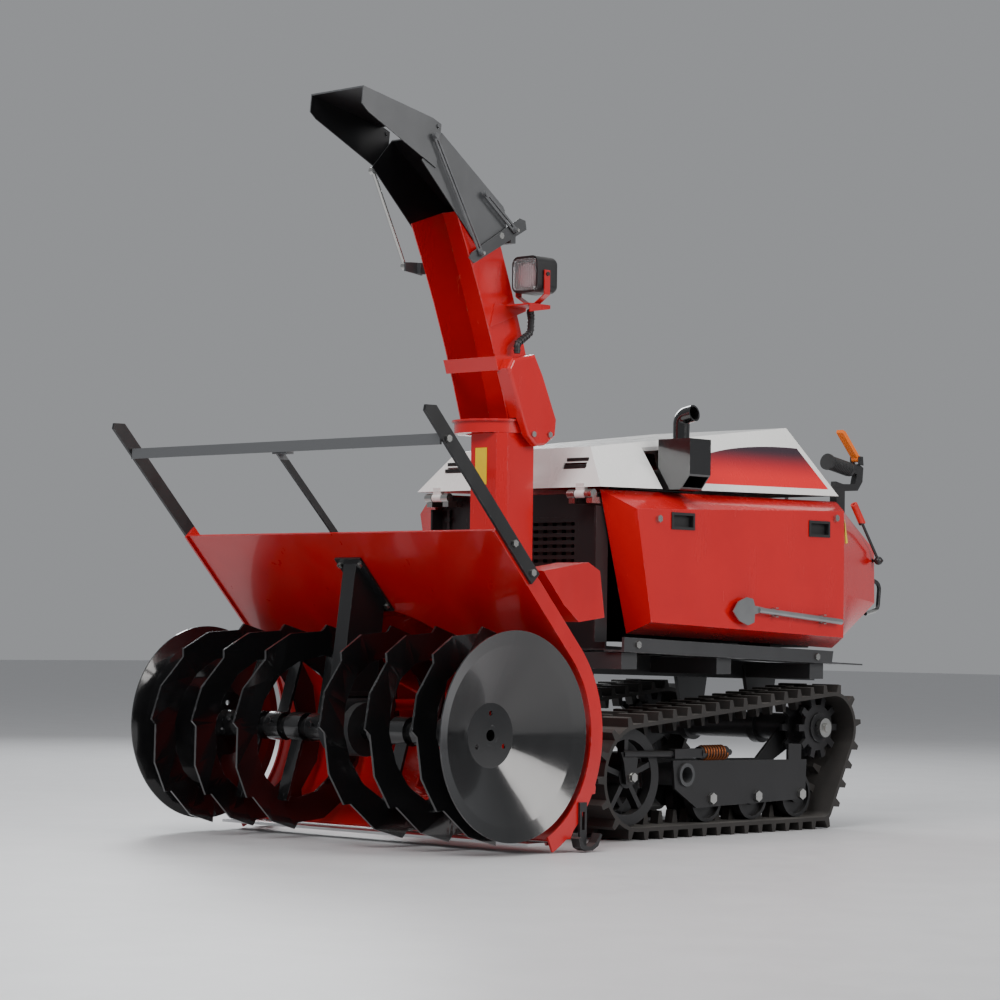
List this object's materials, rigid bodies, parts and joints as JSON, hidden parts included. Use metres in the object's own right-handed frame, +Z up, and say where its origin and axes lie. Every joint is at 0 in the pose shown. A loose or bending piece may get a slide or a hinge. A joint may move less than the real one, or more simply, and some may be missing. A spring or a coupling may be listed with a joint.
{
  "type": "snow blower",
  "caption": "Tracked snow blower with serrated augers, side discs, impeller, turning chute with folding deflectors and lamp, opening hood and rubber tracks.",
  "frame": {"origin": "middle of the footprint on the ground, under the centre of the bounding box", "axes": "+Z up, front of the machine (augers) towards -Y, +X to the machine's left-hand side"},
  "size_m": [1.155, 2.1344, 1.826],
  "materials": {
    "red_paint": "gloss",
    "white_paint": "gloss",
    "black_paint": "gloss",
    "frame_grey": "satin",
    "light_grey": "satin",
    "zinc": "satin",
    "cast": "rough",
    "rubber": "matt",
    "black_plastic": "matt",
    "red_grip": "satin",
    "orange_plastic": "satin",
    "silver_paint": "satin",
    "engine_alloy": "rough",
    "lens": "clear"
  },
  "bodies": {
    "undercarriage": {"tracks": "rubber", "track_frames": "frame_grey", "cross_members": "frame_grey", "wheel_pins": "zinc", "tensioners": "zinc"},
    "drive_wheels": {"drive_sprockets": "cast"},
    "idler_wheels": {"idlers": "frame_grey"},
    "front_rollers": {"track_rollers_1": "frame_grey"},
    "middle_rollers": {"track_rollers_2": "frame_grey"},
    "rear_rollers": {"track_rollers_3": "frame_grey"},
    "machine_body": {"body_frame": "light_grey", "side_covers": "red_paint", "cover_fittings": "black_plastic", "front_cover": "black_paint", "rear_panel": "black_paint", "engine": "engine_alloy", "radiator": "engine_alloy", "drive_belt": "rubber", "fuel_tank": "black_plastic", "battery": "black_plastic", "transmission": "engine_alloy", "exhaust": "black_paint", "handlebars": "black_plastic", "hood_hinges": "zinc"},
    "hood_body": {"hood": "white_paint"},
    "clutch_left": {"clutch_lever_left": "orange_plastic"},
    "clutch_right": {"clutch_lever_right": "orange_plastic"},
    "gear_lever": {"side_lever": "red_grip"},
    "short_levers": {"control_levers": "black_plastic"},
    "shovel_body": {"shovel": "silver_paint"},
    "auger_head": {"housing_wall": "red_paint", "side_plates": "red_paint", "blower_housing": "red_paint", "scraper_blade": "zinc", "snow_cutters": "black_paint", "gearbox_case": "cast", "gearbox_column": "black_paint", "head_bolts": "zinc"},
    "skid_left": {"skid_shoe_left": "black_paint"},
    "skid_right": {"skid_shoe_right": "black_paint"},
    "augers": {"auger_flights": "black_paint", "side_discs": "black_paint", "auger_shaft": "black_paint"},
    "impeller_body": {"impeller": "red_paint"},
    "chute": {"chute_ring": "red_paint", "chute_channel": "red_paint", "drive_cover": "red_paint", "lamp_bracket": "red_paint", "deflector_bracket": "frame_grey", "chute_bolts": "zinc", "lamp_conduit": "black_plastic"},
    "lamp": {"lamp_body": "black_plastic", "lamp_glass": "lens"},
    "lower_deflector": {"deflector_lower": "light_grey"},
    "tip_deflector": {"deflector_tip": "light_grey"},
    "long_stay": {"stay_long": "light_grey"},
    "rear_stay": {"stay_rear": "light_grey"},
    "far_stay": {"stay_far": "zinc"},
    "lift_tube": {"lift_barrel": "frame_grey"},
    "lift_rod": {"lift_ram": "zinc"}
  },
  "joints": [
    {"name": "body_tilt", "type": "hinge", "parent": "undercarriage", "child": "machine_body", "pos_m": [0, 0.70496, 0.272], "axis": [-1, 0, 0], "range_deg": [0, 12]},
    {"name": "head_roll", "type": "hinge", "parent": "machine_body", "child": "auger_head", "pos_m": [0, -0.28504, 0.336], "axis": [0, 1, 0], "range_deg": [-3, 3]},
    {"name": "auger_spin", "type": "hinge", "parent": "auger_head", "child": "augers", "pos_m": [0, -0.74504, 0.278], "axis": [1, 0, 0], "continuous": true},
    {"name": "impeller_spin", "type": "hinge", "parent": "auger_head", "child": "impeller_body", "pos_m": [0, -0.44504, 0.336], "axis": [0, 1, 0], "continuous": true},
    {"name": "chute_turn", "type": "hinge", "parent": "auger_head", "child": "chute", "pos_m": [0.1, -0.35704, 1.023], "axis": [0, 0, 1], "range_deg": [-100, 100]},
    {"name": "lower_deflector_fold", "type": "hinge", "parent": "chute", "child": "lower_deflector", "pos_m": [0.1, -0.44304, 1.515], "axis": [1, 0, 0], "range_deg": [0, 20]},
    {"name": "tip_deflector_fold", "type": "hinge", "parent": "lower_deflector", "child": "tip_deflector", "pos_m": [0.1, -0.67004, 1.762], "axis": [1, 0, 0], "range_deg": [0, 24]},
    {"name": "long_stay_swing", "type": "hinge", "parent": "chute", "child": "long_stay", "pos_m": [0.202, -0.52204, 1.462], "axis": [1, 0, 0], "range_deg": [0, 19.5]},
    {"name": "rear_stay_swing", "type": "hinge", "parent": "chute", "child": "rear_stay", "pos_m": [0.202, -0.39904, 1.532], "axis": [1, 0, 0], "range_deg": [0, 15.7]},
    {"name": "far_stay_swing", "type": "hinge", "parent": "chute", "child": "far_stay", "pos_m": [-0.008, -0.58104, 1.44], "axis": [1, 0, 0], "range_deg": [0, 22.9]},
    {"name": "lamp_tilt", "type": "hinge", "parent": "chute", "child": "lamp", "pos_m": [0.244, -0.37704, 1.418], "axis": [1, 0, 0], "range_deg": [-15, 15]},
    {"name": "hood_open", "type": "hinge", "parent": "machine_body", "child": "hood_body", "pos_m": [0, -0.19704, 0.876], "axis": [1, 0, 0], "range_deg": [0, 32]},
    {"name": "clutch_left_squeeze", "type": "hinge", "parent": "machine_body", "child": "clutch_left", "pos_m": [0.268, 0.95096, 1.024], "axis": [1, 0, 0], "range_deg": [0, 22], "stiffness_Nm_per_rad": 3},
    {"name": "clutch_right_squeeze", "type": "hinge", "parent": "machine_body", "child": "clutch_right", "pos_m": [-0.268, 0.95096, 1.024], "axis": [1, 0, 0], "range_deg": [0, 22], "stiffness_Nm_per_rad": 3},
    {"name": "gear_lever_swing", "type": "hinge", "parent": "machine_body", "child": "gear_lever", "pos_m": [0.326, 0.98096, 0.737], "axis": [1, 0, 0], "range_deg": [-20, 8]},
    {"name": "short_levers_swing", "type": "hinge", "parent": "machine_body", "child": "short_levers", "pos_m": [-0.01, 0.89496, 0.804], "axis": [1, 0, 0], "range_deg": [-12, 12]},
    {"name": "shovel_lift", "type": "slide", "parent": "machine_body", "child": "shovel_body", "axis": [1, 0, 0], "range_m": [0, 0.06]},
    {"name": "skid_left_height", "type": "slide", "parent": "auger_head", "child": "skid_left", "axis": [0, 0, 1], "range_m": [0, 0.018]},
    {"name": "skid_right_height", "type": "slide", "parent": "auger_head", "child": "skid_right", "axis": [0, 0, 1], "range_m": [0, 0.018]},
    {"name": "idler_turn", "type": "hinge", "parent": "undercarriage", "child": "idler_wheels", "pos_m": [0, -0.10704, 0.158], "axis": [1, 0, 0], "continuous": true},
    {"name": "drive_turn", "type": "hinge", "parent": "undercarriage", "child": "drive_wheels", "pos_m": [0, 0.70496, 0.272], "axis": [1, 0, 0], "continuous": true},
    {"name": "front_roller_turn", "type": "hinge", "parent": "undercarriage", "child": "front_rollers", "pos_m": [0, 0.21496, 0.095], "axis": [1, 0, 0], "continuous": true},
    {"name": "middle_roller_turn", "type": "hinge", "parent": "undercarriage", "child": "middle_rollers", "pos_m": [0, 0.40496, 0.095], "axis": [1, 0, 0], "continuous": true},
    {"name": "rear_roller_turn", "type": "hinge", "parent": "undercarriage", "child": "rear_rollers", "pos_m": [0, 0.59496, 0.095], "axis": [1, 0, 0], "continuous": true},
    {"name": "lift_tube_swing", "type": "hinge", "parent": "undercarriage", "child": "lift_tube", "pos_m": [-0.085, 0.15996, 0.196], "axis": [-1, 0, 0], "range_deg": [0, 7.4]},
    {"name": "lift_rod_stroke", "type": "slide", "parent": "lift_tube", "child": "lift_rod", "axis": [0, 0, 1], "range_m": [0, 0.1135]}
  ],
  "couplings": [
    {"joint": "impeller_spin", "follows": "auger_spin", "ratio": 8},
    {"joint": "tip_deflector_fold", "follows": "lower_deflector_fold", "ratio": 1.2},
    {"joint": "long_stay_swing", "follows": "lower_deflector_fold", "ratio": 0.97},
    {"joint": "rear_stay_swing", "follows": "lower_deflector_fold", "ratio": 0.78},
    {"joint": "far_stay_swing", "follows": "lower_deflector_fold", "ratio": 1.14},
    {"joint": "drive_turn", "follows": "idler_turn", "ratio": 1.4318},
    {"joint": "front_roller_turn", "follows": "idler_turn", "ratio": 2.0323},
    {"joint": "middle_roller_turn", "follows": "idler_turn", "ratio": 2.0323},
    {"joint": "rear_roller_turn", "follows": "idler_turn", "ratio": 2.0323},
    {"joint": "lift_tube_swing", "follows": "body_tilt", "ratio": 0.61},
    {"joint": "lift_rod_stroke", "follows": "body_tilt", "m_per_rad": 0.539}
  ]
}
